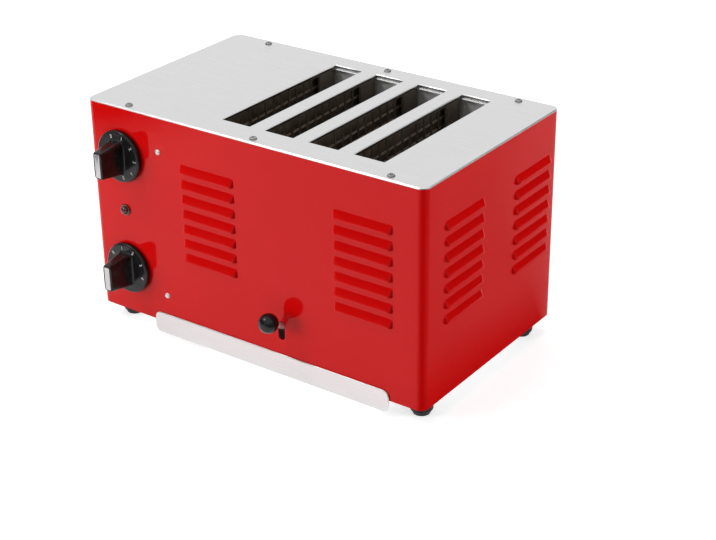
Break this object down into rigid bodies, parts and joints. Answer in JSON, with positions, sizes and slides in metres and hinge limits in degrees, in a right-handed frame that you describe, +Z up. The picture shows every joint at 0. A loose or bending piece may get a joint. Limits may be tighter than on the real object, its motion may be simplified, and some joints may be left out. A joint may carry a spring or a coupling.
{
  "type": "four-slot toaster",
  "caption": "Catering toaster with a red wrapped casing, flat steel top with bread slots, front timer and selector knobs, a lift lever and a slide-out crumb tray.",
  "frame": {"origin": "on the surface that the feet stand on, under the middle of the whole part's box", "axes": "+Z up, the front panel with the knobs faces -Y, +X to the right as seen from the front"},
  "size_m": [0.377, 0.262, 0.227],
  "materials": {
    "red_enamel": "gloss red stove enamel",
    "brushed_steel": "fine brushed stainless steel",
    "tray_steel": "satin stainless steel",
    "plated_steel": "zinc plated steel sheet",
    "chamber_sheet": "aluminised steel sheet",
    "chamber_steel": "steel wire and sheet, heat stained",
    "bright_steel": "bright plated steel",
    "black_moulding": "black moulded phenolic",
    "insert_silver": "bright silver foil insert",
    "black_rubber": "matt black rubber",
    "mica": "brown mica sheet",
    "element_ribbon": "oxidised resistance ribbon",
    "switch_moulding": "dark grey moulded switch",
    "terminal_moulding": "ivory moulded terminal block",
    "lamp_lens": "dark red lens, unlit"
  },
  "bodies": {
    "body": {"casing": "red_enamel", "rear_panel": "red_enamel", "top_plate": "brushed_steel", "base_pan": "plated_steel", "top_rail_front": "plated_steel", "top_rail_rear": "plated_steel", "control_shield": "plated_steel", "chamber_front": "chamber_sheet", "chamber_rear": "chamber_sheet", "chamber_left": "chamber_sheet", "chamber_right": "chamber_sheet", "element_rail_front": "chamber_steel", "element_rail_rear": "chamber_steel", "element_cage_1": "chamber_steel", "element_cage_2": "chamber_steel", "element_cage_3": "chamber_steel", "element_cage_4": "chamber_steel", "element_cage_5": "chamber_steel", "mica_cards": "mica", "element_ribbons": "element_ribbon", "guide_rods": "bright_steel", "lever_bracket": "plated_steel", "lever_pin": "plated_steel", "timer_body": "plated_steel", "selector_body": "switch_moulding", "control_nuts": "plated_steel", "lamp_lens": "lamp_lens", "lamp_holder": "switch_moulding", "tray_runners": "plated_steel", "foot_front_left": "black_rubber", "foot_front_right": "black_rubber", "foot_rear_left": "black_rubber", "foot_rear_right": "black_rubber", "foot_screws": "plated_steel", "top_plate_screws": "bright_steel", "front_rivets": "bright_steel", "rear_screws": "bright_steel", "cable_gland": "switch_moulding", "gland_nut": "switch_moulding", "terminal_block": "terminal_moulding"},
    "timer": {"timer_knob": "black_moulding", "timer_insert": "insert_silver", "timer_shaft": "bright_steel"},
    "selector": {"selector_knob": "black_moulding", "selector_insert": "insert_silver", "selector_shaft": "bright_steel"},
    "lever": {"lift_lever": "bright_steel", "lever_ball": "black_moulding"},
    "rack": {"rack_frame": "plated_steel", "bread_carrier_1": "chamber_steel", "bread_carrier_2": "chamber_steel", "bread_carrier_3": "chamber_steel", "bread_carrier_4": "chamber_steel"},
    "tray": {"crumb_tray": "tray_steel"}
  },
  "joints": [
    {"name": "timer_turn", "type": "hinge", "parent": "body", "child": "timer", "pos_m": [-0.146, -0.099, 0.1775], "axis": [0, 1, 0], "range_deg": [0, 300]},
    {"name": "selector_turn", "type": "hinge", "parent": "body", "child": "selector", "pos_m": [-0.146, -0.099, 0.064], "axis": [0, 1, 0], "range_deg": [0, 120]},
    {"name": "lever_rock", "type": "hinge", "parent": "body", "child": "lever", "pos_m": [0.0335, -0.069, 0.039], "axis": [1, 0, 0], "range_deg": [0, 18]},
    {"name": "rack_lift", "type": "slide", "parent": "body", "child": "rack", "axis": [0, 0, 1], "range_m": [0, 0.0288]},
    {"name": "tray_slide", "type": "slide", "parent": "body", "child": "tray", "axis": [0, -1, 0], "range_m": [0, 0.15]}
  ],
  "couplings": [
    {"joint": "rack_lift", "follows": "lever_rock", "m_per_rad": 0.091622}
  ]
}
